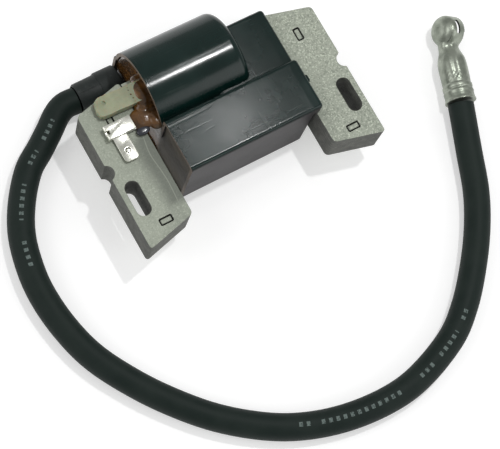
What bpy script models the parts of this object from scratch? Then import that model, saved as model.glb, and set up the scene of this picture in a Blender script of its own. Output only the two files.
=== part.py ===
"""Small-engine ignition coil: laminated armature, potted coil and module, lead and plug terminal.

Metres, +Z up. The coil runs along X, the pole tips point to -Y and the object rests on Z = 0.
Most sub-parts are laid out from the coil's own axis, on an empty at AXIS_Y, so Y = 0 is the
middle of the crossbar there. The lead and the plug terminal are laid out in world coordinates.
"""

import math

import bmesh
import bpy
from mathutils import Vector

# ---- driving dimensions, metres ----
GAP = 0.0003  # clearance between touching pieces
CORE_WIDTH = 0.078  # across both legs
LEG_WIDTH = 0.0155
STACK = 0.012  # thickness of the lamination stack
AXIS_Z = 0.0144  # height of the coil's axis, and of the stack's middle
POLE_REACH = 0.0427  # from the coil's axis to the outer pole corners
LEG_BACK = 0.0015  # from the coil's axis to the outer back corners
END_RISE = 0.0039  # the slanted ends drop back by this over a leg's width
SLOT_SPACING = 0.0702
SLOT_Y, SLOT_WIDTH, SLOT_LENGTH = -0.0277, 0.0044, 0.0110
NOTCH_Y, NOTCH_RADIUS, NOTCH_OUT = -0.01745, 0.0023, 0.0005
CORNER_RADIUS = 0.0010
CROSSBAR_WIDTH = 0.0086
COIL_RADIUS = 0.0142  # outside of the round part of the housing
BACK_WALL = 0.0149  # from the coil's axis to the flat lower back wall
WALL = 0.0012
HOUSING_LEFT, COIL_RIGHT = -0.0190, 0.0112
BODY_RIGHT, LIP_RIGHT = 0.0226, 0.0246  # below and above the leg's top face
MODULE_FRONT, MODULE_BACK, MODULE_TOP = -0.0289, -0.0123, 0.0260
REAR_BACK, REAR_TOP = 0.0062, 0.0230
POTTING_DEPTH = 0.0024
MOULD_STEP = 0.0004  # the housing's boxes step back from each other by this
BOOT_Y, BOOT_Z = 0.01025, 0.0055
BOOT_RADIUS, COLLAR_RADIUS = 0.00475, 0.00515
BOOT_END, COLLAR_END = -0.0330, -0.0256
LEAD_DIAMETER = 0.008
LEAD_Z = 0.00405  # height of the lead's middle where it lies
AXIS_Y = (POLE_REACH - BACK_WALL) / 2  # centres the core and housing on Y = 0

# ---- derived ----
STACK_BOTTOM = AXIS_Z - STACK / 2
STACK_TOP = AXIS_Z + STACK / 2
LEG_OUTER = CORE_WIDTH / 2
LEG_INNER = LEG_OUTER - LEG_WIDTH

# The lead's own points on the surface, from the boot round the loop to the terminal.
LEAD_ROUTE = (
    (-0.0334, 0.02415, 0.00550),
    (-0.0371, 0.02415, 0.00550),
    (-0.0405, 0.02270, 0.00500),
    (-0.0446, 0.01950, 0.00430),
    (-0.0493, 0.01600, LEAD_Z),
    (-0.0555, 0.01150, LEAD_Z),
    (-0.0618, 0.00350, LEAD_Z),
    (-0.0662, -0.00520, LEAD_Z),
    (-0.0686, -0.01560, LEAD_Z),
    (-0.0690, -0.02470, LEAD_Z),
    (-0.0678, -0.03460, LEAD_Z),
    (-0.0651, -0.04430, LEAD_Z),
    (-0.0605, -0.05350, LEAD_Z),
    (-0.0535, -0.06410, LEAD_Z),
    (-0.0439, -0.07530, LEAD_Z),
    (-0.0334, -0.08400, LEAD_Z),
    (-0.0229, -0.09000, LEAD_Z),
    (-0.0106, -0.09400, LEAD_Z),
    (0.0030, -0.09560, LEAD_Z),
    (0.0150, -0.09440, LEAD_Z),
    (0.0293, -0.08920, LEAD_Z),
    (0.0385, -0.08270, LEAD_Z),
    (0.0470, -0.07400, LEAD_Z),
    (0.0545, -0.06450, LEAD_Z),
    (0.0605, -0.05450, LEAD_Z),
    (0.0655, -0.04240, LEAD_Z),
    (0.0710, -0.02860, 0.00450),
)
LEAD_POINTS = 78
TERMINAL_START = Vector((0.0711, -0.0283, 0.0050))
TERMINAL_HEADING = math.radians(70.9)
CUP_X = 0.0232  # from the lead's end to the cup's middle
CUP_RISE = 0.0012  # the cup's middle stands this much over the lead's
CUP_LEAN = math.radians(60)

# ---- materials: colour, roughness, metallic ----
FINISHES = {
    "electrical_steel": ((0.42, 0.45, 0.38), 0.55, 0.7),
    "housing_plastic": ((0.012, 0.022, 0.020), 0.25, 0.0),
    "potting_resin": ((0.12, 0.035, 0.008), 0.15, 0.0),
    "nylon": ((0.50, 0.50, 0.34), 0.45, 0.0),
    "bobbin_plastic": ((0.55, 0.55, 0.50), 0.50, 0.0),
    "copper_wire": ((0.50, 0.16, 0.06), 0.30, 0.9),
    "board": ((0.03, 0.14, 0.06), 0.50, 0.0),
    "semiconductor": ((0.02, 0.02, 0.02), 0.45, 0.0),
    "resistor_body": ((0.45, 0.30, 0.16), 0.50, 0.0),
    "capacitor_body": ((0.60, 0.30, 0.05), 0.45, 0.0),
    "tinned_steel": ((0.75, 0.75, 0.70), 0.25, 1.0),
    "plated_steel": ((0.45, 0.47, 0.42), 0.30, 1.0),
    "spring_steel": ((0.30, 0.30, 0.28), 0.30, 1.0),
    "lead_rubber": ((0.018, 0.026, 0.023), 0.50, 0.0),
    "boot_rubber": ((0.022, 0.026, 0.025), 0.55, 0.0),
    "magnet_wire_tape": ((0.60, 0.50, 0.20), 0.55, 0.0),
}


# ---- scene and helpers ----
def clear_scene():
    for obj in list(bpy.data.objects):
        bpy.data.objects.remove(obj)


def new_collection(name):
    collection = bpy.data.collections.new(name)
    bpy.context.scene.collection.children.link(collection)
    return collection


def finish_material(name):
    found = bpy.data.materials.get(name)
    if found:
        return found
    colour, roughness, metallic = FINISHES[name]
    material = bpy.data.materials.new(name)
    material.use_nodes = True
    shader = material.node_tree.nodes["Principled BSDF"]
    shader.inputs["Base Color"].default_value = (*colour, 1.0)
    shader.inputs["Roughness"].default_value = roughness
    shader.inputs["Metallic"].default_value = metallic
    return material


clear_scene()
parts = new_collection("ignition_coil")
cutters = new_collection("cutters")
coil_frame = bpy.data.objects.new("coil_frame", None)
coil_frame.location = (0, AXIS_Y, 0)
parts.objects.link(coil_frame)


def add_object(name, data, finish=None, parent=coil_frame):
    """Puts an object in the parts with its finish or, with none, in the cutters."""
    obj = bpy.data.objects.new(name, data)
    obj.parent = parent
    if finish:
        parts.objects.link(obj)
        data.materials.append(finish_material(finish))
    else:
        cutters.objects.link(obj)
        obj.hide_render = True
        obj.display_type = "WIRE"
    return obj


def bevel(obj, width, segments=2, angle=35):
    modifier = obj.modifiers.new("rounded edges", "BEVEL")
    modifier.width = width
    modifier.segments = segments
    modifier.limit_method = "ANGLE"
    modifier.angle_limit = math.radians(angle)
    return obj


def boolean(obj, other, operation="DIFFERENCE"):
    modifier = obj.modifiers.new(operation.lower(), "BOOLEAN")
    modifier.operation = operation
    modifier.object = other
    modifier.solver = "EXACT"
    return obj


def box(name, low, high, finish=None, parent=coil_frame, rounded=0.0, segments=2):
    mesh = bpy.data.meshes.new(name)
    cage = bmesh.new()
    bmesh.ops.create_cube(cage, size=1.0)
    size = Vector(high) - Vector(low)
    bmesh.ops.scale(cage, vec=size, verts=cage.verts)
    cage.to_mesh(mesh)
    cage.free()
    obj = add_object(name, mesh, finish, parent)
    obj.location = (Vector(low) + Vector(high)) / 2
    if rounded:
        bevel(obj, rounded, segments)
    return obj


def shade_round(mesh, angle=40):
    mesh.shade_smooth()
    mesh.set_sharp_from_angle(angle=math.radians(angle))


def cylinder(name, radius, start, end, finish=None, parent=coil_frame, sides=24):
    """A round bar between two points."""
    start, end = Vector(start), Vector(end)
    mesh = bpy.data.meshes.new(name)
    cage = bmesh.new()
    bmesh.ops.create_cone(
        cage, cap_ends=True, segments=sides, radius1=radius, radius2=radius,
        depth=(end - start).length,
    )
    cage.to_mesh(mesh)
    cage.free()
    shade_round(mesh)
    obj = add_object(name, mesh, finish, parent)
    obj.location = (start + end) / 2
    obj.rotation_mode = "QUATERNION"
    obj.rotation_quaternion = (end - start).to_track_quat("Z", "Y")
    return obj


def turned(name, profile, finish, location, rotation, parent=coil_frame, sides=32, closed=True):
    """A profile of (radius, height) points turned about the object's own Z axis."""
    mesh = bpy.data.meshes.new(name)
    cage = bmesh.new()
    verts = [cage.verts.new((radius, 0, height)) for radius, height in profile]
    for first, second in zip(verts, verts[1:]):
        cage.edges.new((first, second))
    if closed:
        cage.edges.new((verts[-1], verts[0]))
    cage.to_mesh(mesh)
    cage.free()
    obj = add_object(name, mesh, finish, parent)
    obj.location = location
    obj.rotation_euler = rotation
    screw = obj.modifiers.new("turned", "SCREW")
    screw.steps = sides
    screw.render_steps = sides
    screw.use_merge_vertices = True
    screw.merge_threshold = 0.00001
    screw.use_smooth_shade = True
    return obj


def ring(name, inner, outer, left, right, finish, sides=32):
    """A turned ring about the coil's axis, from left to right along X."""
    half = (right - left) / 2
    profile = [(outer, half), (outer, -half), (inner, -half), (inner, half)]
    middle = ((left + right) / 2, 0, AXIS_Z)
    return turned(name, profile, finish, middle, (0, math.radians(90), 0), sides=sides)


def flat_outline(name, loops, thickness, finish, location, parent=coil_frame, rotation=(0, 0, 0)):
    """A flat piece cut to the first loop, with the other loops as holes."""
    curve = bpy.data.curves.new(name, "CURVE")
    curve.dimensions = "2D"
    curve.fill_mode = "BOTH"
    curve.extrude = thickness / 2
    for loop in loops:
        spline = curve.splines.new("POLY")
        spline.points.add(len(loop) - 1)
        for point, (x, y) in zip(spline.points, loop):
            point.co = (x, y, 0, 1)
        spline.use_cyclic_u = True
    obj = add_object(name, curve, finish, parent)
    obj.location = location
    obj.rotation_euler = rotation
    return obj


def prism(name, outline, thickness, finish, location, parent=coil_frame, rotation=(0, 0, 0)):
    """A mesh piece of one outline, which can be cut and joined."""
    mesh = bpy.data.meshes.new(name)
    cage = bmesh.new()
    lower = [cage.verts.new((x, y, -thickness / 2)) for x, y in outline]
    upper = [cage.verts.new((x, y, thickness / 2)) for x, y in outline]
    cage.faces.new(lower)
    cage.faces.new(upper)
    for i in range(len(outline)):
        cage.faces.new((lower[i - 1], lower[i], upper[i], upper[i - 1]))
    bmesh.ops.recalc_face_normals(cage, faces=cage.faces)
    cage.to_mesh(mesh)
    cage.free()
    obj = add_object(name, mesh, finish, parent)
    obj.location = location
    obj.rotation_euler = rotation
    return obj


def tube(name, points, radius, finish, parent=None, resolution=2, cyclic=False):
    curve = bpy.data.curves.new(name, "CURVE")
    curve.dimensions = "3D"
    curve.bevel_depth = radius
    curve.bevel_resolution = resolution
    curve.use_fill_caps = True
    spline = curve.splines.new("POLY")
    spline.points.add(len(points) - 1)
    for point, place in zip(spline.points, points):
        point.co = (*place, 1)
    spline.use_cyclic_u = cyclic
    return add_object(name, curve, finish, parent)


def arc(cx, cy, radius, start, end, steps):
    """Points of an arc, with its angles in degrees."""
    angles = [math.radians(start + (end - start) * i / steps) for i in range(steps + 1)]
    return [(cx + radius * math.cos(a), cy + radius * math.sin(a)) for a in angles]


def rounded_corners(corners, radius, steps=3):
    """The corners of an outline, each replaced by a short arc."""
    points = []
    count = len(corners)
    for i, corner in enumerate(corners):
        here = Vector(corner)
        before = (Vector(corners[i - 1]) - here).normalized()
        after = (Vector(corners[(i + 1) % count]) - here).normalized()
        half = before.angle(after) / 2
        reach = radius / math.tan(half)
        centre = here + (before + after).normalized() * (radius / math.sin(half))
        start = here + before * reach - centre
        end = here + after * reach - centre
        turn = start.angle_signed(end)
        for step in range(steps + 1):
            angle = -turn * step / steps
            cosine, sine = math.cos(angle), math.sin(angle)
            points.append((
                centre.x + start.x * cosine - start.y * sine,
                centre.y + start.x * sine + start.y * cosine,
            ))
    return points


def smooth_curve(route, count):
    """Evenly spaced points on a Catmull-Rom curve through the route."""
    places = [Vector(p) for p in route]
    places = [2 * places[0] - places[1], *places, 2 * places[-1] - places[-2]]
    fine = []
    for a, b, c, d in zip(places, places[1:], places[2:], places[3:]):
        for step in range(16):
            t = step / 16
            fine.append(0.5 * (
                2 * b + (c - a) * t + (2 * a - 5 * b + 4 * c - d) * t * t
                + (3 * b - a - 3 * c + d) * t * t * t
            ))
    fine.append(places[-2])
    lengths = [0.0]
    for first, second in zip(fine, fine[1:]):
        lengths.append(lengths[-1] + (second - first).length)
    points = []
    index = 0
    for i in range(count):
        wanted = lengths[-1] * i / (count - 1)
        while index < len(fine) - 2 and lengths[index + 1] < wanted:
            index += 1
        share = (wanted - lengths[index]) / (lengths[index + 1] - lengths[index])
        points.append(fine[index].lerp(fine[index + 1], min(share, 1.0)))
    return points


# ---- laminated armature ----
def leg(name, side):
    """One leg of the armature, on the side of its sign, with its slot and its outer notch."""
    outer, inner = side * LEG_OUTER, side * LEG_INNER
    spread = math.degrees(math.acos(NOTCH_OUT / NOTCH_RADIUS))
    middle_angle = 180 if side > 0 else 0
    sign = 1 if side > 0 else -1
    # The outline runs from the back outer corner inwards, forwards, outwards and back up.
    corners = [
        (outer, LEG_BACK),
        (inner, LEG_BACK + END_RISE),
        (inner, -POLE_REACH + END_RISE),
        (outer, -POLE_REACH),
    ]
    notch = arc(
        outer + sign * NOTCH_OUT, NOTCH_Y, NOTCH_RADIUS,
        middle_angle + sign * spread, middle_angle - sign * spread, 10,
    )
    outline = rounded_corners(corners, CORNER_RADIUS) + notch
    half, radius = (SLOT_LENGTH - SLOT_WIDTH) / 2, SLOT_WIDTH / 2
    slot_x = side * SLOT_SPACING / 2
    slot = arc(slot_x, SLOT_Y + half, radius, 0, 180, 10)
    slot += arc(slot_x, SLOT_Y - half, radius, 180, 360, 10)
    flat_outline(name, [outline, slot], STACK, "electrical_steel", (0, 0, AXIS_Z))


def armature():
    leg("left_leg_laminations", -1)
    leg("right_leg_laminations", 1)
    reach = LEG_INNER - GAP
    half = CROSSBAR_WIDTH / 2
    box(
        "crossbar_laminations", (-reach, -half, STACK_BOTTOM), (reach, half, STACK_TOP),
        "electrical_steel",
    )


# ---- housing and potting ----
def housing_shape(name, inset, left, finish=None):
    """The housing's outside, or its hollow when inset by the wall, open towards -X.

    It is the round coil barrel over a square base, the module box in front of it and the
    lower box that carries the crossbar to the right leg.
    """
    rounding = max(0.0011 - inset, 0.0003)
    past = left - 0.003
    overlap = 0.004
    barrel = cylinder(
        name, COIL_RADIUS - inset, (past, 0, AXIS_Z), (COIL_RIGHT - inset, 0, AXIS_Z),
        finish, sides=64,
    )
    bevel(barrel, 0.0014 if inset == 0 else 0.0003, 3, angle=60)
    base = box(
        name + "_base", (past, MODULE_BACK - overlap, inset),
        (COIL_RIGHT - inset - MOULD_STEP, BACK_WALL - inset, AXIS_Z), rounded=rounding,
    )
    module = box(
        name + "_module", (past, MODULE_FRONT + inset, inset + MOULD_STEP / 2),
        (BODY_RIGHT - inset, MODULE_BACK - inset, MODULE_TOP - inset), rounded=rounding, segments=3,
    )
    rear = box(
        name + "_rear", (0, MODULE_BACK - overlap, inset + MOULD_STEP),
        (BODY_RIGHT - inset, REAR_BACK - inset, REAR_TOP - inset), rounded=rounding, segments=3,
    )
    for piece in (base, module, rear):
        boolean(barrel, piece, "UNION")
    end_cut = box(name + "_end", (past - 0.002, -0.05, -0.01), (left, 0.05, 0.05))
    boolean(barrel, end_cut)
    return barrel


def housing():
    shell = housing_shape("coil_housing", 0.0, HOUSING_LEFT, "housing_plastic")
    lip_bottom = STACK_TOP + GAP
    front_lip = box(
        "front_lip", (BODY_RIGHT - 0.006, MODULE_FRONT + MOULD_STEP / 4, lip_bottom),
        (LIP_RIGHT, MODULE_BACK - MOULD_STEP / 4, MODULE_TOP - MOULD_STEP / 4), rounded=0.0011, segments=3,
    )
    rear_lip = box(
        "rear_lip", (BODY_RIGHT - 0.006, MODULE_BACK - 0.004, lip_bottom),
        (LIP_RIGHT - MOULD_STEP / 4, REAR_BACK - MOULD_STEP / 4, REAR_TOP - MOULD_STEP / 4),
        rounded=0.0009, segments=3,
    )
    boolean(shell, front_lip, "UNION")
    boolean(shell, rear_lip, "UNION")
    hollow = housing_shape("hollow", WALL, HOUSING_LEFT - 0.002)
    boolean(shell, hollow)
    half = CROSSBAR_WIDTH / 2 + GAP
    window = box(
        "crossbar_window", (0.018, -half, STACK_BOTTOM - GAP), (0.030, half, STACK_TOP + GAP)
    )
    boolean(shell, window)
    shade_round(shell.data)


def potting():
    """The resin that closes the open end, round the crossbar."""
    face = HOUSING_LEFT + 0.0006
    plug = housing_shape("potting_block", WALL + GAP, face, "potting_resin")
    cut = box("potting_depth", (face + POTTING_DEPTH, -0.05, -0.01), (0.05, 0.05, 0.05))
    boolean(plug, cut)
    half = CROSSBAR_WIDTH / 2 + GAP
    bar = box(
        "potting_bar", (-0.03, -half, STACK_BOTTOM - GAP), (0.03, half, STACK_TOP + GAP)
    )
    boolean(plug, bar)


# ---- windings ----
def windings():
    start, end = HOUSING_LEFT + 0.0006 + POTTING_DEPTH + GAP, 0.0088
    flange = 0.0008
    inner_half_y, inner_half_z = CROSSBAR_WIDTH / 2 + GAP, STACK / 2 + GAP
    bobbin = ring("primary_bobbin", 0.0050, 0.0084, start, end, "bobbin_plastic")
    for name, left, right in (
        ("bobbin_left_flange", start, start + flange), ("bobbin_right_flange", end - flange, end)
    ):
        flange_disc = cylinder(name, 0.0096, (left, 0, AXIS_Z), (right, 0, AXIS_Z), sides=32)
        boolean(bobbin, flange_disc, "UNION")
    bore = box(
        "bobbin_bore", (start - 0.001, -inner_half_y, AXIS_Z - inner_half_z),
        (end + 0.001, inner_half_y, AXIS_Z + inner_half_z),
    )
    boolean(bobbin, bore)
    left, right = start + flange + GAP, end - flange - GAP
    ring("primary_winding", 0.0084 + GAP, 0.0093, left, right, "copper_wire")
    ring("interlayer_insulation", 0.0099, 0.0102, start, end, "magnet_wire_tape")
    secondary_bobbin(start, end)


def secondary_bobbin(start, end):
    """A sleeve with five flanges, and one section of fine winding in each of its four bays."""
    bays, flange, hub, rim = 4, 0.0007, 0.0110, 0.0126
    pitch = (end - start - flange) / bays
    profile = [(0.0105, start), (0.0105, end)]
    walls = []
    for i in range(bays + 1):
        left = start + pitch * i
        walls.append((left, left + flange))
    for left, right in reversed(walls):
        profile += [(hub, right)] if right < end - 1e-6 else []
        profile += [(rim, right), (rim, left)]
        profile += [(hub, left)] if left > start + 1e-6 else []
    turned(
        "secondary_bobbin", profile, "bobbin_plastic",
        (0, 0, AXIS_Z), (0, math.radians(90), 0),
    )
    for i in range(bays):
        left = walls[i][1] + GAP
        right = walls[i + 1][0] - GAP
        ring(f"secondary_winding_{i + 1}", hub + GAP, rim - 0.0002, left, right, "copper_wire")


# ---- ignition module ----
def module_electronics():
    """The board lies flat in the module's box, with its components on top."""
    board_z = 0.0100
    box("circuit_board", (-0.0150, -0.0272, board_z), (0.0200, -0.0142, board_z + 0.0012), "board")
    top = board_z + 0.0012 + GAP
    box(
        "power_transistor", (-0.0120, -0.0262, top), (-0.0020, -0.0165, top + 0.0044),
        "semiconductor", rounded=0.0004,
    )
    box(
        "control_transistor", (0.0010, -0.0255, top), (0.0058, -0.0215, top + 0.0036),
        "semiconductor", rounded=0.0004,
    )
    box(
        "film_capacitor", (0.0085, -0.0262, top), (0.0135, -0.0165, top + 0.0070),
        "capacitor_body", rounded=0.0006,
    )
    for i in range(2):
        y = -0.0195 + 0.0030 * i
        cylinder(
            f"resistor_{i + 1}", 0.0011, (0.0005, y, top + 0.0011), (0.0068, y, top + 0.0011),
            "resistor_body", sides=16,
        )
    cylinder(
        "zener_diode", 0.0010, (0.0165, -0.0255, top + 0.0010), (0.0165, -0.0205, top + 0.0010),
        "semiconductor", sides=16,
    )


# ---- terminals and trim on the left ----
def left_end_fittings():
    leg_top = STACK_TOP + GAP
    face = HOUSING_LEFT + 0.0006 - GAP
    box(
        "nylon_wedge", (-0.0339, -0.0035, leg_top), (face, 0.0023, leg_top + 0.0030), "nylon",
        rounded=0.0006,
    )
    kill_terminal(leg_top, face)
    box(
        "terminal_seat", (-0.0262, -0.0121, leg_top), (-0.0226, -0.0100, leg_top + 0.0012),
        "potting_resin", rounded=0.0005,
    )


def kill_terminal(leg_top, face):
    """A strip from the potting, folded back over itself at its left end, with a spade to the front."""
    metal = 0.0007
    low, high = leg_top + 0.0002, leg_top + 0.0023
    fold, upper_end = -0.0347, -0.0262
    middle, half = -0.0076, 0.0021
    bend = arc(fold + 0.0006, low + 0.0006, 0.0006, 270, 180, 3)
    bend += arc(fold + 0.0006, high - 0.0006, 0.0006, 180, 90, 3)
    outline = [(face, low + metal), (face, low), *bend, (upper_end, high), (upper_end, high - metal)]
    outline += [(fold + metal, high - metal), (fold + metal, low + metal)]
    strip = prism(
        "kill_terminal", outline, 2 * half, "tinned_steel", (0, middle, 0),
        rotation=(math.radians(90), 0, 0),
    )
    spade_left, spade_right, step = -0.0333, -0.0289, 0.00005
    spade_middle = (spade_left + spade_right) / 2
    spade = prism(
        "terminal_spade",
        [
            (spade_left, middle - half + 0.0004), (spade_left, -0.0160), (spade_left + 0.0009, -0.0174),
            (spade_right - 0.0009, -0.0174), (spade_right, -0.0160), (spade_right, middle - half + 0.0004),
        ],
        metal - 2 * step, None, (0, 0, low + metal / 2),
    )
    boolean(strip, spade, "UNION")
    hole = cylinder(
        "terminal_hole", 0.0008, (spade_middle, -0.0143, low - 0.002),
        (spade_middle, -0.0143, high + 0.002), sides=16,
    )
    boolean(strip, hole)
    notch = box(
        "terminal_notch", (fold - 0.001, middle - 0.0006, low + metal + step),
        (fold + 0.0013, middle + 0.0006, high + 0.001),
    )
    boolean(strip, notch)


# ---- lead ----
def lead_boot():
    """A moulded boot with a thicker collar at the potting, and a taper to its outer end."""
    start = HOUSING_LEFT - GAP
    profile = [
        (0.0, -BOOT_END), (BOOT_RADIUS - 0.0006, -BOOT_END), (BOOT_RADIUS - 0.0001, -BOOT_END - 0.0006),
        (BOOT_RADIUS, -COLLAR_END), (COLLAR_RADIUS, -COLLAR_END - 0.0005),
        (COLLAR_RADIUS, -start), (0.0, -start),
    ]
    turned(
        "lead_boot", profile, "boot_rubber", (0, BOOT_Y, BOOT_Z), (0, math.radians(-90), 0),
        sides=28, closed=False,
    )


def lead():
    tube(
        "ht_lead", smooth_curve(LEAD_ROUTE, LEAD_POINTS), LEAD_DIAMETER / 2, "lead_rubber",
        resolution=3,
    )


# ---- plug terminal ----
def plug_terminal():
    """A stamped terminal: a crimped barrel, a narrow neck and a round cup that leans over."""
    turn = bpy.data.objects.new("terminal_frame", None)
    parts.objects.link(turn)
    turn.location = TERMINAL_START
    turn.rotation_euler = (0, 0, TERMINAL_HEADING)
    sideways = (0, math.radians(90), 0)
    barrel = turned(
        "crimp_barrel",
        [
            (0.0, 0.0115), (0.0032, 0.0115), (0.0042, 0.0096), (0.0044, 0.0070), (0.0047, 0.0062),
            (0.0044, 0.0054), (0.0044, 0.0042), (0.0047, 0.0034), (0.0044, 0.0026), (0.0045, 0.0012),
            (0.0049, 0.0003), (0.0, 0.0003),
        ],
        "plated_steel", (0, 0, 0), sideways, parent=turn, sides=24, closed=False,
    )
    neck = box("neck", (0.0100, -0.0029, -0.0030), (0.0162, 0.0029, 0.0022), parent=turn, rounded=0.0009)
    boolean(barrel, neck, "UNION")
    plug_cup(turn)


def plug_cup(terminal_frame):
    """The cup leans over: its own +Z leaves the closed back, up and to the lead's left."""
    lean = bpy.data.objects.new("cup_frame", None)
    parts.objects.link(lean)
    lean.parent = terminal_frame
    lean.location = (CUP_X, 0, CUP_RISE)
    lean.rotation_euler = (-CUP_LEAN, 0, 0)
    radius, wall, back, mouth = 0.0049, 0.0007, 0.0031, -0.0033
    bore = radius - wall
    profile = [
        (0.0, back), (0.0028, back), (0.0042, back - 0.0006), (radius, back - 0.0019), (radius, mouth),
        (bore, mouth), (bore, back - 0.0024), (0.0034, back - 0.0012), (0.0022, back - wall),
        (0.0, back - wall),
    ]
    cup = turned("plug_cup", profile, "plated_steel", (0, 0, 0), (0, 0, 0), parent=lean, closed=False)
    tongue = box(
        "cup_tongue", (0.0165 - CUP_X, -0.0024, -0.0022), (0.0006 - radius, 0.0024, 0.0016),
        parent=lean, rounded=0.0006,
    )
    boolean(cup, tongue, "UNION")
    slit = box(
        "cup_slit", (-0.0023, -radius - 0.001, -0.0010), (0.0023, -0.0030, 0.0012), parent=lean,
    )
    boolean(cup, slit)
    clip_z, wire = 0.0003, 0.0005
    reach = bore - GAP - wire - 0.0001
    clip = [
        (reach * math.cos(math.radians(a)), reach * math.sin(math.radians(a)), clip_z)
        for a in range(-60, 241, 15)
    ]
    tube("plug_spring_clip", clip, wire, "spring_steel", parent=lean)


armature()
housing()
potting()
windings()
module_electronics()
left_end_fittings()
lead_boot()
lead()
plug_terminal()
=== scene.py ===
import math

import bpy
from mathutils import Matrix, Vector, noise


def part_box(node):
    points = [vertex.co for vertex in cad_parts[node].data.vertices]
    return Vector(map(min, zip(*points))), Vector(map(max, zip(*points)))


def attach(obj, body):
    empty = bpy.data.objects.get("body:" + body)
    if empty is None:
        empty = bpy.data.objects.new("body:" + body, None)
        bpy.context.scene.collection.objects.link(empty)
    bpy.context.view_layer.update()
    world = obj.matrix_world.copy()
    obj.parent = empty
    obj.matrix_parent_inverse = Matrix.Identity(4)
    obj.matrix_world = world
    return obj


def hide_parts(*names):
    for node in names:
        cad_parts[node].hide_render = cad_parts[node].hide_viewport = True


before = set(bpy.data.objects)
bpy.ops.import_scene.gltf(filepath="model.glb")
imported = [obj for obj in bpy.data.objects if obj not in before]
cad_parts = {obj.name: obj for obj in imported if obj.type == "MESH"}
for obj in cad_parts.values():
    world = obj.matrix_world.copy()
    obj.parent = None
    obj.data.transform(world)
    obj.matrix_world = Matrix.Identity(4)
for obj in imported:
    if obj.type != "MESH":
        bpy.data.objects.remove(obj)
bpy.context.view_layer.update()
mm = 0.001
hair = 1e-5  # two places closer than this are the same
upright = 1e-4  # an edge that climbs more than this stands up


def corners(node):
    return [Vector(corner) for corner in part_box(node)]


def clearSelection():
    if bpy.context.mode != "OBJECT":
        bpy.ops.object.mode_set(mode="OBJECT")
    bpy.ops.object.select_all(action="DESELECT")


def activate(piece):
    clearSelection()
    piece.select_set(True)
    bpy.context.view_layer.objects.active = piece


def named(name):
    piece = bpy.context.active_object
    piece.name = name
    piece.data.name = name
    return piece


def editAll(piece):
    activate(piece)
    bpy.ops.object.mode_set(mode="EDIT")
    bpy.ops.mesh.select_all(action="SELECT")


def facingOut():  # in edit mode, and back to object mode
    bpy.ops.mesh.select_all(action="SELECT")
    bpy.ops.mesh.normals_make_consistent(inside=False)
    bpy.ops.object.mode_set(mode="OBJECT")


def placeInMesh(piece):
    activate(piece)
    bpy.ops.object.transform_apply(location=True, rotation=True, scale=True)
    return piece


# test gets the two ends of an edge
def selectEdges(piece, test):
    activate(piece)
    bpy.ops.object.mode_set(mode="EDIT")
    bpy.ops.mesh.select_mode(type="EDGE")
    bpy.ops.mesh.select_all(action="DESELECT")
    bpy.ops.object.mode_set(mode="OBJECT")
    points = piece.data.vertices
    for edge in piece.data.edges:
        edge.select = test(points[edge.vertices[0]].co, points[edge.vertices[1]].co)
    bpy.ops.object.mode_set(mode="EDIT")


def bevelEdges(piece, test, width, segments=3):
    selectEdges(piece, test)
    bpy.ops.mesh.bevel(offset=width, segments=segments, affect="EDGES", clamp_overlap=True)
    bpy.ops.object.mode_set(mode="OBJECT")


def addBox(name, low, high, radius=0.0, segments=3):
    clearSelection()
    middle = (Vector(low) + Vector(high)) / 2
    bpy.ops.mesh.primitive_cube_add(size=1, location=middle)
    piece = named(name)
    piece.scale = Vector(high) - Vector(low)
    placeInMesh(piece)
    if radius:
        bevelEdges(piece, lambda a, b: True, radius, segments)
    return piece


def addRod(name, radius, start, end, sides=48):
    clearSelection()
    start, end = Vector(start), Vector(end)
    turn = (end - start).to_track_quat("Z", "Y").to_euler()
    bpy.ops.mesh.primitive_cylinder_add(
        vertices=sides, radius=radius, depth=(end - start).length,
        location=(start + end) / 2, rotation=turn)
    return placeInMesh(named(name))


# a disc is extruded from station to station, each a (radius, height)
def turnedAlongZ(name, stations, sides=64):
    clearSelection()
    radius, height = stations[0]
    bpy.ops.mesh.primitive_circle_add(vertices=sides, radius=radius, fill_type="NGON",
                                      location=(0, 0, height))
    piece = placeInMesh(named(name))
    editAll(piece)
    bpy.ops.mesh.select_mode(type="FACE")
    for nextRadius, nextHeight in stations[1:]:
        bpy.ops.mesh.extrude_region_move(
            TRANSFORM_OT_translate={"value": (0, 0, nextHeight - height)})
        growth = nextRadius / radius
        bpy.ops.transform.resize(value=(growth, growth, 1), center_override=(0, 0, nextHeight))
        radius, height = nextRadius, nextHeight
    facingOut()
    return piece


def moveInto(piece, matrix):
    piece.matrix_world = matrix @ piece.matrix_world
    return placeInMesh(piece)


def applyModifier(piece, kind, **values):
    activate(piece)
    modifier = piece.modifiers.new(kind.lower(), kind)
    for key, value in values.items():
        setattr(modifier, key, value)
    bpy.ops.object.modifier_apply(modifier=modifier.name)


def combine(piece, other, operation="DIFFERENCE"):
    applyModifier(piece, "BOOLEAN", operation=operation, object=other, solver="EXACT")
    bpy.data.objects.remove(other)
    return piece


def joinAll(pieces):
    clearSelection()
    for piece in pieces:
        piece.select_set(True)
    bpy.context.view_layer.objects.active = pieces[0]
    bpy.ops.object.join()
    return pieces[0]


def smoothByAngle(piece, degrees=32):
    activate(piece)
    bpy.ops.object.shade_smooth_by_angle(angle=math.radians(degrees))


def tidyMesh(piece, distance=0.000002):
    editAll(piece)
    bpy.ops.mesh.remove_doubles(threshold=distance)
    facingOut()


def finishPiece(piece, material, slot, *nodes):
    placeInMesh(piece)
    piece.data.materials.clear()
    piece.data.materials.append(material)
    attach(piece, "root")
    if nodes:
        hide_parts(*nodes)
    return piece


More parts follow.
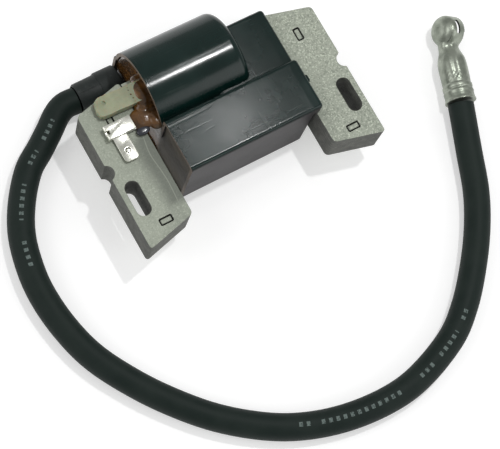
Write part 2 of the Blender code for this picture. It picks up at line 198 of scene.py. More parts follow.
# a socket that takes part in Python sums; each sum adds one Math node
class Value:
    def __init__(self, finish, socket):
        self.finish, self.socket = finish, socket

    def maths(self, operation, first, second=None):
        values = {0: first} if second is None else {0: first, 1: second}
        return self.finish.add("ShaderNodeMath", {"operation": operation}, values)

    def __add__(self, other): return self.maths("ADD", self, other)
    def __radd__(self, other): return self.maths("ADD", other, self)
    def __sub__(self, other): return self.maths("SUBTRACT", self, other)
    def __rsub__(self, other): return self.maths("SUBTRACT", other, self)
    def __mul__(self, other): return self.maths("MULTIPLY", self, other)
    def __rmul__(self, other): return self.maths("MULTIPLY", other, self)
    def __gt__(self, other): return self.maths("GREATER_THAN", self, other)
    def __lt__(self, other): return self.maths("LESS_THAN", self, other)
    def __abs__(self): return self.maths("ABSOLUTE", self)

    def fraction(self):
        return self.maths("FRACT", self)

    def limited(self):
        return self.finish.add("ShaderNodeClamp", {}, {"Value": self})


# one material: its Principled shader and the nodes that feed it
class Finish:
    def __init__(self, name, **sockets):
        self.material = bpy.data.materials.new(name)
        self.material.use_nodes = True
        self.nodes = self.material.node_tree.nodes
        self.links = self.material.node_tree.links
        self.shader = self.nodes["Principled BSDF"]
        self.plug(self.shader, {key.replace("_", " "): value for key, value in sockets.items()})
        self.place = self.add("ShaderNodeTexCoord", {}, {}, "Object")

    def plug(self, node, values):
        for key, value in values.items():
            socket = node.inputs[key]
            if isinstance(value, Value):
                self.links.new(value.socket, socket)
            else:
                socket.default_value = value

    def add(self, kind, settings, values, output=0):
        node = self.nodes.new(kind)
        for key, value in settings.items():
            setattr(node, key, value)
        self.plug(node, values)
        return Value(self, node.outputs[output])

    def grain(self, scale, detail=4.0, rough=0.55, stretch=(1, 1, 1), distortion=0.0):
        vector = self.place
        if stretch != (1, 1, 1):
            vector = self.add("ShaderNodeMapping", {}, {"Vector": vector, "Scale": stretch})
        return self.add("ShaderNodeTexNoise", {}, {
            "Vector": vector, "Scale": scale, "Detail": detail, "Roughness": rough,
            "Distortion": distortion})

    def cells(self, scale):
        return self.add("ShaderNodeTexVoronoi", {}, {"Vector": self.place, "Scale": scale}, "Color")

    def spread(self, value, low, high, toLow=0.0, toHigh=1.0):
        return self.add("ShaderNodeMapRange", {"interpolation_type": "SMOOTHSTEP"}, {
            "Value": value, "From Min": low, "From Max": high, "To Min": toLow, "To Max": toHigh})

    def blend(self, factor, first, second):
        first = first if isinstance(first, Value) else (*first, 1)
        second = second if isinstance(second, Value) else (*second, 1)
        return self.add("ShaderNodeMix", {"data_type": "RGBA"}, {0: factor, 6: first, 7: second}, 2)

    def part(self, vector, axis):
        return self.add("ShaderNodeSeparateXYZ", {}, {"Vector": vector}, "XYZ".index(axis))

    def normalPart(self, axis):
        facing = self.add("ShaderNodeNewGeometry", {}, {}, "Normal")
        return self.part(facing, axis)

    def bumps(self, height, depth, strength=1.0):
        return self.add("ShaderNodeBump", {}, {"Height": height, "Distance": depth, "Strength": strength})

    def feed(self, **sockets):
        self.plug(self.shader, {key.replace("_", " "): value for key, value in sockets.items()})
        return self.material


def laminationSteel():
    steel = Finish("laminationSteel", Metallic=0.35, Specular_IOR_Level=0.4)
    fine = steel.grain(2400, 3, 0.65)
    sparkle = steel.part(steel.cells(2900), "X")
    pits = steel.part(steel.cells(2300), "Y")
    stain = steel.spread(steel.grain(75, 5, 0.6), 0.40, 0.66)
    blotch = steel.spread(steel.grain(300, 4, 0.6), 0.35, 0.7)
    rightSide = steel.spread(steel.part(steel.place, "X"), -0.02, 0.02)  # this leg is the coarser of the two
    flat = steel.spread(abs(steel.normalPart("Z")), 0.55, 0.9)
    coarse = 0.30 + rightSide * 0.55
    face = steel.blend(stain, (0.300, 0.324, 0.268), (0.228, 0.248, 0.206))
    face = steel.blend(blotch * 0.35, face, (0.36, 0.39, 0.32))
    face = steel.blend(steel.spread(sparkle, 0.70, 0.95) * coarse * 0.50, face, (0.68, 0.73, 0.60))
    face = steel.blend(steel.spread(pits, 0.66, 0.92) * coarse * 0.60, face, (0.13, 0.15, 0.12))
    face = steel.blend(steel.spread(fine, 0.56, 0.72) * 0.35, face, (0.16, 0.18, 0.145))
    # a painted dark reflection of the housing beside the coil on the left leg, with a painted highlight of
    # the housing's rim as a fine bright line down its middle
    bend = steel.grain(48, 1, 0.4) * 0.006 - 0.003
    across = steel.part(steel.place, "X") + bend
    along = steel.part(steel.place, "Y")
    reflectionRun = steel.spread(along, -0.0215, -0.0185) * (1 - steel.spread(along, 0.0005, 0.0035))
    paintedBodyReflection = steel.spread(across, -0.0305, -0.0265) * (1 - steel.spread(across, -0.0215, -0.0205)) * reflectionRun
    paintedRimHighlight = steel.spread(abs(across + 0.0256), 0.00025, 0.0, 0.0, 1.0) * reflectionRun
    # painted reflection of the housing (darker) and painted highlight of its rim (lighter)
    face = steel.blend(paintedBodyReflection * 0.75, face, (0.095, 0.105, 0.088))
    face = steel.blend(paintedRimHighlight.limited() * 0.40, face, (0.36, 0.38, 0.32))
    mottle = steel.spread(steel.grain(420, 3), 0.35, 0.7)
    edge = steel.blend(mottle, (0.085, 0.087, 0.080), (0.135, 0.135, 0.125))
    layers = steel.spread(abs((steel.part(steel.place, "Z") * 640).fraction() - 0.5), 0.36, 0.48)
    edge = steel.blend(layers * 0.45, edge, (0.035, 0.035, 0.033))
    colour = steel.blend(flat, edge, face)
    roughness = 0.44 + fine * 0.22 + (1 - flat) * 0.12
    height = fine * 0.6 + sparkle * 0.6 + blotch * 0.4
    return steel.feed(Base_Color=colour, Roughness=roughness,
                      Normal=steel.bumps(height, 0.00003, 0.6))


def housingPlastic():
    plastic = Finish("housingPlastic", Specular_IOR_Level=0.30)
    cloud = plastic.grain(70, 4, 0.55)
    fine = plastic.grain(1800, 3, 0.6)
    ripple = plastic.grain(160, 2, 0.5)
    streakA = plastic.grain(620, 2, 0.5, stretch=(0.06, 1.5, 1.0), distortion=0.35)
    streakB = plastic.grain(520, 2, 0.5, stretch=(1.3, 0.07, 1.0), distortion=0.5)
    streaks = plastic.spread(streakA, 0.60, 0.70) + plastic.spread(streakB, 0.63, 0.72)
    top = plastic.spread(plastic.part(plastic.place, "Z"), 0.0245, 0.0255)
    front = plastic.spread(plastic.part(plastic.place, "Y"), 0.0015, 0.0035)
    moduleTop = top * (1 - front)
    patches = plastic.spread(plastic.grain(60, 3), 0.40, 0.58)
    scuffs = (streaks * patches * (0.25 + moduleTop * 0.75)).limited()
    matteFrontSheen = plastic.spread(plastic.normalPart("Y") * -1, 0.75, 0.97)  # the matte front of the module; its lighter grey colour is a painted reflection of the pale floor
    beyond = plastic.part(plastic.place, "X") < -0.0187
    cutEnd = plastic.spread(plastic.normalPart("X") * -1, 0.7, 0.9) * beyond
    gloss = plastic.blend(plastic.spread(cloud, 0.3, 0.7), (0.0015, 0.0105, 0.0085), (0.0040, 0.0165, 0.0140))
    # lighter purple-grey for the matte front face: a painted reflection of the pale floor
    frontSheenGrey = plastic.blend(plastic.spread(fine, 0.3, 0.7), (0.017, 0.016, 0.017), (0.030, 0.027, 0.029))
    rim = plastic.blend(plastic.spread(fine, 0.3, 0.7), (0.21, 0.165, 0.13), (0.13, 0.105, 0.085))
    colour = plastic.blend(matteFrontSheen, gloss, frontSheenGrey)
    colour = plastic.blend(scuffs * 0.28, colour, (0.10, 0.12, 0.105))
    colour = plastic.blend(cutEnd, colour, rim)
    roughness = 0.15 + plastic.spread(cloud, 0.4, 0.75) * 0.05 + scuffs * 0.12
    roughness = roughness + matteFrontSheen * 0.34 + cutEnd * 0.30
    height = ripple * 0.8 + fine * 0.2 - scuffs * 0.8
    return plastic.feed(Base_Color=colour, Roughness=roughness,
                        Normal=plastic.bumps(height, 0.00004, 0.6))


def pottingResin():
    resin = Finish("pottingResin", Specular_IOR_Level=0.25)
    cloud = resin.grain(190, 5, 0.6, distortion=0.6)
    lumps = resin.grain(420, 3)
    flow = resin.grain(90, 3, 0.5, distortion=1.2)
    inModule = 1 - resin.spread(resin.part(resin.place, "Y"), 0.0005, 0.0030)
    colour = resin.blend(resin.spread(cloud, 0.3, 0.7), (0.035, 0.017, 0.005), (0.120, 0.052, 0.011))
    colour = resin.blend(resin.spread(flow, 0.52, 0.70) * 0.7, colour, (0.19, 0.085, 0.020))
    colour = resin.blend(resin.spread(lumps, 0.62, 0.78) * 0.5, colour, (0.20, 0.10, 0.03))
    dusty = resin.blend(resin.spread(lumps, 0.3, 0.7), (0.062, 0.053, 0.038), (0.105, 0.093, 0.072))
    colour = resin.blend(inModule, colour, dusty)
    roughness = 0.16 + resin.spread(lumps, 0.3, 0.8) * 0.14 + inModule * 0.30
    return resin.feed(Base_Color=colour, Roughness=roughness, Coat_Weight=0.5 - inModule * 0.5,
                      Normal=resin.bumps(lumps + cloud * 0.8, 0.00020, 0.7))


def naturalNylon():
    nylon = Finish("naturalNylon", Subsurface_Weight=0.35, Subsurface_Scale=0.002,
                   Specular_IOR_Level=0.45)
    cloud = nylon.grain(160, 4)
    speck = nylon.spread(nylon.grain(900, 3), 0.66, 0.78)
    colour = nylon.blend(nylon.spread(cloud, 0.3, 0.7), (0.21, 0.225, 0.135), (0.31, 0.33, 0.215))
    colour = nylon.blend(speck * 0.5, colour, (0.17, 0.17, 0.10))
    return nylon.feed(Base_Color=colour, Roughness=0.36 + cloud * 0.25,
                      Normal=nylon.bumps(cloud + nylon.grain(1200, 2) * 0.2, 0.00012, 0.6))


def tinPlate(name, light, dark, roughness, stainAmount):
    tin = Finish(name, Metallic=1.0)
    brushed = tin.grain(900, 3, 0.6, stretch=(1.0, 0.12, 1.0))
    mottle = tin.grain(320, 4, 0.6)
    stains = tin.spread(tin.grain(140, 5), 0.5, 0.72) * stainAmount
    pits = tin.spread(tin.grain(2200, 2), 0.68, 0.78)
    colour = tin.blend(tin.spread(mottle, 0.35, 0.7), light, dark)
    colour = tin.blend(stains, colour, tuple(part * 0.35 for part in dark))
    colour = tin.blend(pits * 0.4, colour, (0.05, 0.05, 0.045))
    rough = roughness + brushed * 0.12 + stains * 0.25
    return tin.feed(Base_Color=colour, Roughness=rough,
                    Normal=tin.bumps(brushed * 0.6 + mottle, 0.00006, 0.5))


def leadRubber():
    rubber = Finish("leadRubber", Specular_IOR_Level=0.22)
    along = rubber.add("ShaderNodeUVMap", {"uv_map": "leadMap"}, {})
    length = rubber.part(along, "X")
    around = rubber.part(along, "Y")
    cloud = rubber.grain(120, 4)
    fine = rubber.grain(2400, 3, 0.6)
    drawn = rubber.add("ShaderNodeTexNoise", {"noise_dimensions": "2D"}, {
        "Vector": rubber.add("ShaderNodeMapping", {}, {"Vector": along, "Scale": (6, 90, 1)}),
        "Scale": 1.0, "Detail": 3.0})
    # plain pale dashes where a lead carries its marking
    step = (length * leadSettings["dashCount"]).fraction()
    dash = (abs(step - 0.5) < leadSettings["dashLength"]) * (abs(around - 0.5) < leadSettings["dashHeight"])
    groups = rubber.add("ShaderNodeTexNoise", {"noise_dimensions": "1D"},
                        {"W": length, "Scale": leadSettings["groupCount"], "Detail": 0.0})
    shown = sum((length > start) * (length < end) for start, end in leadSettings["markedRuns"])
    shown = shown * rubber.spread(groups, 0.42, 0.45)
    worn = rubber.spread(fine, 0.34, 0.5)
    marks = dash * shown * worn * 0.45
    colour = rubber.blend(rubber.spread(cloud, 0.3, 0.7), (0.0045, 0.0115, 0.0090), (0.0095, 0.0170, 0.0140))
    colour = rubber.blend(rubber.spread(fine, 0.62, 0.8) * 0.3, colour, (0.030, 0.036, 0.033))
    colour = rubber.blend(marks, colour, (0.26, 0.33, 0.31))
    height = fine * 0.4 + drawn * 0.5 + cloud * 0.5
    return rubber.feed(Base_Color=colour, Roughness=0.46 + cloud * 0.2 + fine * 0.08,
                       Normal=rubber.bumps(height, 0.00006, 0.5))


def bootRubber():
    rubber = Finish("bootRubber", Specular_IOR_Level=0.35)
    cloud = rubber.grain(240, 4)
    fine = rubber.grain(1600, 3, 0.6)
    dust = rubber.spread(rubber.grain(420, 4, 0.65), 0.55, 0.75)
    colour = rubber.blend(rubber.spread(cloud, 0.3, 0.7), (0.008, 0.012, 0.011), (0.016, 0.021, 0.020))
    colour = rubber.blend(dust * 0.35, colour, (0.06, 0.068, 0.064))
    return rubber.feed(Base_Color=colour, Roughness=0.46 + fine * 0.15,
                       Normal=rubber.bumps(fine * 0.5 + cloud, 0.0001, 0.6))


def innerFinish(name, colour, roughness, metallic=0.0, scale=600, depth=0.00003, stretch=(1, 1, 1)):
    inner = Finish(name, Metallic=metallic)
    cloud = inner.grain(scale, 4, 0.6, stretch)
    dark = tuple(part * 0.6 for part in colour)
    shade = inner.blend(inner.spread(cloud, 0.3, 0.7), colour, dark)
    return inner.feed(Base_Color=shade, Roughness=roughness + cloud * 0.15,
                      Normal=inner.bumps(cloud, depth, 0.5))


leadSettings = {
    "diameter": 8.0 * mm,
    "lie": 4.05 * mm,  # height of its middle on the surface
    "ringPoints": 32,
    "lengthSteps": 300,
    "dashCount": 128,
    "dashLength": 0.24,
    "dashHeight": 0.026,
    "groupCount": 34.0,
    "curvePieces": 16,
    "markedRuns": [(0.035, 0.205), (0.530, 0.790)],  # shares of the length
}
lie = leadSettings["lie"]
leadRoute = [  # the same points as in the part
    (-0.0334, 0.02415, 0.00550), (-0.0371, 0.02415, 0.00550), (-0.0405, 0.02270, 0.00500),
    (-0.0446, 0.01950, 0.00430), (-0.0493, 0.01600, lie), (-0.0555, 0.01150, lie),
    (-0.0618, 0.00350, lie), (-0.0662, -0.00520, lie), (-0.0686, -0.01560, lie),
    (-0.0690, -0.02470, lie), (-0.0678, -0.03460, lie), (-0.0651, -0.04430, lie),
    (-0.0605, -0.05350, lie), (-0.0535, -0.06410, lie), (-0.0439, -0.07530, lie),
    (-0.0334, -0.08400, lie), (-0.0229, -0.09000, lie), (-0.0106, -0.09400, lie),
    (0.0030, -0.09560, lie), (0.0150, -0.09440, lie), (0.0293, -0.08920, lie),
    (0.0385, -0.08270, lie), (0.0470, -0.07400, lie), (0.0545, -0.06450, lie),
    (0.0605, -0.05450, lie), (0.0655, -0.04240, lie), (0.0710, -0.02860, 0.00450),
]
cameraSettings = {
    "place": (-0.1381, -0.1141, 0.4517),
    "target": (-0.0047, -0.0311, 0.0),
    "roll": 29.6,
    "lens": 117.1,
}


# evenly spaced points on a Catmull-Rom curve through the route
def smoothRoute(route, steps):
    places = [Vector(place) for place in route]
    places = [2 * places[0] - places[1], *places, 2 * places[-1] - places[-2]]
    fine = []
    for a, b, c, d in zip(places, places[1:], places[2:], places[3:]):
        for step in range(leadSettings["curvePieces"]):
            t = step / leadSettings["curvePieces"]
            fine.append(0.5 * (2 * b + (c - a) * t + (2 * a - 5 * b + 4 * c - d) * t * t
                               + (3 * b - a - 3 * c + d) * t * t * t))
    fine.append(places[-2])
    lengths = [0.0]
    for first, second in zip(fine, fine[1:]):
        lengths.append(lengths[-1] + (second - first).length)
    points, index = [], 0
    for i in range(steps):
        wanted = lengths[-1] * i / (steps - 1)
        while index < len(fine) - 2 and lengths[index + 1] < wanted:
            index += 1
        share = (wanted - lengths[index]) / (lengths[index + 1] - lengths[index])
        points.append(fine[index].lerp(fine[index + 1], min(share, 1.0)))
    return points, lengths[-1]


def makeCamera():
    place, target = Vector(cameraSettings["place"]), Vector(cameraSettings["target"])
    clearSelection()
    bpy.ops.object.camera_add(location=place)
    camera = bpy.context.active_object
    camera.name = "productCamera"
    look = (target - place).to_track_quat("-Z", "Y").to_matrix().to_4x4()
    roll = Matrix.Rotation(math.radians(cameraSettings["roll"]), 4, "Z")
    camera.matrix_world = Matrix.Translation(place) @ look @ roll
    camera.data.lens = cameraSettings["lens"]
    camera.data.sensor_width = 36
    camera.data.clip_start = 0.01
    bpy.context.scene.camera = camera


# a tube swept along the route, with its own map: along it, and round it from below
def makeLead():
    points, length = smoothRoute(leadRoute, leadSettings["lengthSteps"])
    ring, radius = leadSettings["ringPoints"], leadSettings["diameter"] / 2
    verts, faces, maps = [], [], []
    for i, point in enumerate(points):
        ahead = points[min(i + 1, len(points) - 1)] - points[max(i - 1, 0)]
        ahead.normalize()
        side = ahead.cross(Vector((0, 0, 1))).normalized()
        up = side.cross(ahead)
        for k in range(ring):
            angle = 2 * math.pi * k / ring
            wobble = 1 + 0.006 * noise.noise(point * 90 + Vector((k, 0, 0)) * 0.2)
            spoke = side * math.sin(angle) - up * math.cos(angle)
            verts.append(point + spoke * radius * wobble)
    for i in range(len(points) - 1):
        for k in range(ring):
            after = (k + 1) % ring
            faces.append((i * ring + k, i * ring + after, (i + 1) * ring + after, (i + 1) * ring + k))
            first, second = i / (len(points) - 1), (i + 1) / (len(points) - 1)
            low, high = k / ring, (k + 1) / ring
            maps += [(first, low), (first, high), (second, high), (second, low)]
    last = (len(points) - 1) * ring
    faces.append(tuple(reversed(range(ring))))
    faces.append(tuple(last + k for k in range(ring)))
    maps += [(0, 0)] * (2 * ring)
    mesh = bpy.data.meshes.new("leadJacket")
    mesh.from_pydata(verts, [], faces)
    layer = mesh.uv_layers.new(name="leadMap")
    for corner, place in zip(layer.data, maps):
        corner.uv = place
    piece = bpy.data.objects.new("leadJacket", mesh)
    bpy.context.scene.collection.objects.link(piece)
    editAll(piece)
    facingOut()
    smoothByAngle(piece, 50)
    finishPiece(piece, leadRubber(), "lead_rubber", "ht_lead")
    return piece, points, length


bpy.context.scene.view_settings.view_transform = "Standard"
makeCamera()
lead, leadPath, leadLength = makeLead()
print("lead", round(leadLength, 4))

steelFinish = laminationSteel()
plasticFinish = housingPlastic()
resinFinish = pottingResin()
nylonFinish = naturalNylon()
tinFinish = tinPlate("tinPlate", (0.86, 0.86, 0.79), (0.62, 0.63, 0.55), 0.20, 0.35)
platedFinish = tinPlate("platedSteel", (0.36, 0.39, 0.33), (0.24, 0.265, 0.22), 0.32, 0.40)
springFinish = tinPlate("springWire", (0.45, 0.46, 0.42), (0.25, 0.25, 0.23), 0.25, 0.3)
bootFinish = bootRubber()
print("finishes made")


legSettings = {
    "sheets": 24,
    "sheetGap": 0.035 * mm,
    "endRise": 3.9 * mm,
    "cornerRadius": 1.1 * mm,
    "slotSize": (4.4 * mm, 11.0 * mm),
    "slotPlace": (35.1 * mm, -13.8 * mm),
    "notchPlace": -3.55 * mm,
    "notchRadius": 2.3 * mm,
    "notchOut": 0.5 * mm,
    "notchRound": 0.45 * mm,
    "sheetRound": 0.05 * mm,
    "stakes": [  # place and size
        ((31.1 * mm, -22.9 * mm), (4.1 * mm, 2.2 * mm)),
        ((31.1 * mm, 9.1 * mm), (2.2 * mm, 4.1 * mm)),
    ],
    "pocketRound": 0.45 * mm,
    "stakeRound": 0.35 * mm,
    "stakePlay": 0.34 * mm,
    "stakeDepth": 0.10 * mm,
}


def addStadium(name, middle, width, length, low, high):
    half = (length - width) / 2
    start = middle[1] - half
    piece = addRod(name, width / 2, (middle[0], start, low), (middle[0], start, high), 40)
    for point in piece.data.vertices:
        if point.co.y > start + hair / 10:
            point.co.y += 2 * half
    return piece


def makeLeg(side, node):
    low, high = corners(node)
    outer, inner = (low.x, high.x) if side < 0 else (high.x, low.x)
    rise = legSettings["endRise"]
    pitch = (high.z - low.z) / legSettings["sheets"]
    top = low.z + pitch - legSettings["sheetGap"]
    sheet = addBox(node + "Sheet", (low.x, low.y - mm, low.z), (high.x, high.y + mm, top))
    slope = Vector((inner - outer, rise, 0)).normalized()
    across = Vector((-slope.y, slope.x, 0)) if slope.x > 0 else Vector((slope.y, -slope.x, 0))
    for corner, outwards in (((outer, low.y, 0), -across), ((outer, high.y - rise, 0), across)):
        editAll(sheet)
        bpy.ops.mesh.bisect(plane_co=corner, plane_no=outwards, use_fill=True, clear_outer=True)
        bpy.ops.object.mode_set(mode="OBJECT")
    bevelEdges(sheet, lambda a, b: abs(a.z - b.z) > upright, legSettings["cornerRadius"], 4)
    width, length = legSettings["slotSize"]
    slotX, slotY = side * legSettings["slotPlace"][0], legSettings["slotPlace"][1]
    combine(sheet, addStadium("slotCutter", (slotX, slotY), width, length, low.z - mm, top + mm))
    notchX, notchY = outer + side * legSettings["notchOut"], legSettings["notchPlace"]
    combine(sheet, addRod("notchCutter", legSettings["notchRadius"], (notchX, notchY, low.z - mm),
                          (notchX, notchY, top + mm), 40))
    reach = legSettings["notchRadius"] + 0.2 * mm
    bevelEdges(sheet, lambda a, b: abs(a.z - b.z) > upright and abs(a.x - outer) < hair
               and abs(a.y - notchY) < reach, legSettings["notchRound"], 3)
    stakes = []
    for (x, y), (sizeX, sizeY) in legSettings["stakes"]:
        x *= side
        halfX, halfY = sizeX / 2, sizeY / 2
        pocket = addBox("pocket", (x - halfX, y - halfY, low.z - mm), (x + halfX, y + halfY, top + mm))
        bevelEdges(pocket, lambda a, b: abs(a.z - b.z) > upright, legSettings["pocketRound"], 3)
        combine(sheet, pocket)
        play, depth = legSettings["stakePlay"], legSettings["stakeDepth"]
        stake = addBox("stake", (x - halfX + play, y - halfY + play, low.z + depth),
                       (x + halfX - play, y + halfY - play, high.z - depth), legSettings["stakeRound"], 4)
        stakes.append(stake)
    applyModifier(sheet, "BEVEL", width=legSettings["sheetRound"], segments=1, limit_method="ANGLE",
                  angle_limit=math.radians(60))
    applyModifier(sheet, "ARRAY", count=legSettings["sheets"], use_relative_offset=False,
                  use_constant_offset=True, constant_offset_displace=(0, 0, pitch))
    leg = joinAll([sheet, *stakes])
    leg.name = "leftLegStack" if side < 0 else "rightLegStack"
    smoothByAngle(leg, 30)
    return finishPiece(leg, steelFinish, "electrical_steel", node)


def makeCrossbar():
    low, high = corners("crossbar_laminations")
    pitch = (high.z - low.z) / legSettings["sheets"]
    sheet = addBox("crossbarStack", low, (high.x, high.y, low.z + pitch - legSettings["sheetGap"]))
    applyModifier(sheet, "BEVEL", width=legSettings["sheetRound"], segments=1)
    applyModifier(sheet, "ARRAY", count=legSettings["sheets"], use_relative_offset=False,
                  use_constant_offset=True, constant_offset_displace=(0, 0, pitch))
    return finishPiece(sheet, steelFinish, "electrical_steel", "crossbar_laminations")


makeLeg(-1, "left_leg_laminations")
makeLeg(1, "right_leg_laminations")
makeCrossbar()
print("armature made")


axisY, axisZ = 13.9 * mm, 14.4 * mm
housingSettings = {
    "radius": 14.2 * mm,
    "backWall": axisY + 14.9 * mm,
    "wall": 1.1 * mm,
    "left": -19.0 * mm,
    "coilRight": 11.2 * mm,
    "bodyRight": 22.6 * mm,
    "lipRight": 24.6 * mm,
    "lipBottom": 20.7 * mm,
    "moduleFront": axisY - 28.9 * mm,
    "moduleBack": axisY - 12.3 * mm,
    "moduleTop": 26.0 * mm,
    "rearBack": axisY + 6.2 * mm,
    "rearTop": 23.0 * mm,
    "endRound": 2.4 * mm,  # at the barrel's right end
    "hollowEndRound": 1.0 * mm,
    "edgeRound": 1.0 * mm,
    "hollowRound": 0.6 * mm,
    "frontLipRound": 1.2 * mm,
    "rearLipRound": 1.1 * mm,
    "nubLow": (23.6 * mm, -6.2 * mm, 21.4 * mm),
    "nubHigh": (25.7 * mm, -3.6 * mm, 24.2 * mm),
    "nubRound": 0.7 * mm,
}


def housingSolid(name, inset, left, rounding):
    size = housingSettings
    past = left - 4 * mm
    overlap = 4 * mm
    stepBack = 0.2 * mm
    rightEnd = size["coilRight"] - inset
    barrel = addRod(name, size["radius"] - inset, (past, axisY, axisZ), (rightEnd, axisY, axisZ), 128)
    bevelEdges(barrel, lambda a, b: a.x > rightEnd - hair and b.x > rightEnd - hair,
               size["hollowEndRound"] if inset else size["endRound"], 7)
    base = addBox("base", (past, size["moduleBack"] - overlap, inset),
                  (rightEnd - stepBack * 2, size["backWall"] - inset, axisZ), rounding, 3)
    boxRight, boxRounding = size["bodyRight"] - inset, rounding * 1.3
    module = addBox("module", (past, size["moduleFront"] + inset, inset + stepBack),
                    (boxRight, size["moduleBack"] - inset, size["moduleTop"] - inset), boxRounding, 5)
    rear = addBox("rear", (0, size["moduleBack"] - overlap, inset + stepBack * 2),
                  (boxRight, size["rearBack"] - inset, size["rearTop"] - inset), boxRounding, 5)
    for other in (base, module, rear):
        combine(barrel, other, "UNION")
    combine(barrel, addBox("trim", (past - mm, -0.05, -0.01), (left, 0.05, 0.05)))
    return barrel


def makeHousing():
    size = housingSettings
    shell = housingSolid("moulding", 0.0, size["left"], size["edgeRound"])
    tuck = 0.06 * mm
    lipLeft, lipRight = size["bodyRight"] - 6 * mm, size["lipRight"]
    frontLip = addBox("frontLip", (lipLeft, size["moduleFront"] + tuck, size["lipBottom"]),
                      (lipRight, size["moduleBack"] - tuck, size["moduleTop"] - tuck),
                      size["frontLipRound"], 5)
    rearLip = addBox("rearLip", (lipLeft, size["moduleBack"] - 4 * mm, size["lipBottom"]),
                     (lipRight - 2 * tuck, size["rearBack"] - tuck, size["rearTop"] - tuck),
                     size["rearLipRound"], 5)
    nub = addBox("nub", size["nubLow"], size["nubHigh"], size["nubRound"], 3)
    combine(frontLip, nub, "UNION")
    combine(shell, frontLip, "UNION")
    combine(shell, rearLip, "UNION")
    combine(shell, housingSolid("hollow", size["wall"], size["left"] - 2 * mm, size["hollowRound"]))
    barLow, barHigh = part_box("crossbar_laminations")
    play = 0.3 * mm
    window = addBox("window", (18 * mm, barLow[1] - play, barLow[2] - play),
                    (30 * mm, barHigh[1] + play, barHigh[2] + play))
    combine(shell, window)
    tidyMesh(shell)
    smoothByAngle(shell, 28)
    applyModifier(shell, "WEIGHTED_NORMAL", keep_sharp=True)
    return finishPiece(shell, plasticFinish, "housing_plastic", "coil_housing")


pottingSettings = {
    "cuts": 46,
    "lumpScale": 130,
    "lumpDepth": 0.6 * mm,
    "clearance": 0.05 * mm,
    "barPlay": 0.25 * mm,
    "rounding": 0.5 * mm,
}


def makePotting():
    low, high = corners("potting_block")
    play = pottingSettings["barPlay"]
    slab = addBox("resinFill", (low.x, low.y - 2 * mm, low.z - 2 * mm),
                  (high.x, high.y + 2 * mm, high.z + 2 * mm))
    editAll(slab)
    bpy.ops.mesh.subdivide(number_cuts=pottingSettings["cuts"])
    bpy.ops.object.mode_set(mode="OBJECT")
    for point in slab.data.vertices:
        if point.co.x < low.x + hair / 10:
            place = point.co * pottingSettings["lumpScale"]
            lumps = noise.noise(place) * 0.35 + noise.noise(place * 3.1) * 0.12
            point.co.x += (lumps - 0.1) * pottingSettings["lumpDepth"] + 0.1 * mm
    shape = housingSolid("resinShape", housingSettings["wall"] + pottingSettings["clearance"],
                         low.x - 3 * mm, pottingSettings["rounding"])
    combine(slab, shape, "INTERSECT")
    barLow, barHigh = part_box("crossbar_laminations")
    bar = addBox("bar", (-30 * mm, barLow[1] - play, barLow[2] - play),
                 (30 * mm, barHigh[1] + play, barHigh[2] + play))
    combine(slab, bar)
    tidyMesh(slab)
    smoothByAngle(slab, 40)
    return finishPiece(slab, resinFinish, "potting_resin", "potting_block")


makeHousing()
makePotting()
print("housing and resin made")


wedgeSettings = {
    "noseDrop": 1.0 * mm,
    "noseNarrow": 0.80,
    "noseShare": 0.16,  # of its length
    "cuts": 15,
    "edgeRound": 0.5 * mm,
    "dimpleRadius": 0.6 * mm,
    "waviness": 0.16 * mm,
    "dimplePlace": (2.8 * mm, 1.1 * mm),
}


def makeWedge():
    low, high = corners("nylon_wedge")
    wedge = addBox("nylonTongue", low, high)
    editAll(wedge)
    bpy.ops.mesh.subdivide(number_cuts=wedgeSettings["cuts"])
    bpy.ops.object.mode_set(mode="OBJECT")
    length, middle = high.x - low.x, (low.y + high.y) / 2
    for point in wedge.data.vertices:
        share = (point.co.x - low.x) / length
        nose = max(0.0, 1 - share / wedgeSettings["noseShare"])
        width = 1 - (1 - wedgeSettings["noseNarrow"]) * nose ** 2
        wave = 0.035 * math.sin(share * 9.0 + 0.6)
        point.co.y = middle + (point.co.y - middle) * (width + wave * 0.6) + 0.35 * mm * (1 - share)
        lift = (point.co.z - low.z) / (high.z - low.z)
        point.co.z -= lift * wedgeSettings["noseDrop"] * nose ** 1.5
        point.co.x += abs(point.co.y - middle) * 0.25 * nose
        point.co.y += noise.noise(point.co * 260) * wedgeSettings["waviness"]
        uneven = lift * noise.noise(point.co * 210) * wedgeSettings["waviness"]
        point.co.z = max(low.z, point.co.z + uneven)
    x, y = low.x + wedgeSettings["dimplePlace"][0], middle + wedgeSettings["dimplePlace"][1]
    combine(wedge, addRod("dimple", wedgeSettings["dimpleRadius"], (x, y, high.z - 0.5 * mm),
                          (x, y, high.z + mm), 24))
    applyModifier(wedge, "BEVEL", width=wedgeSettings["edgeRound"], segments=4, limit_method="ANGLE",
                  angle_limit=math.radians(50))
    tidyMesh(wedge)
    smoothByAngle(wedge, 45)
    return finishPiece(wedge, nylonFinish, "nylon", "nylon_wedge")


stripSettings = {
    "metal": 0.7 * mm,
    "halfWidth": 2.1 * mm,
    "upperEnd": -26.2 * mm,
    "foldRadius": 0.6 * mm,
    "spade": (-33.3 * mm, -28.9 * mm),
    "spadeRound": 1.0 * mm,
    "hole": (-31.1 * mm, -0.4 * mm),
    "holeRadius": 0.8 * mm,
    "bosses": [(1.75 * mm, 0.12 * mm), (1.25 * mm, 0.24 * mm)],  # radius and height
    "rivetRadius": 0.62 * mm,
    "notchHalf": 0.6 * mm,
}


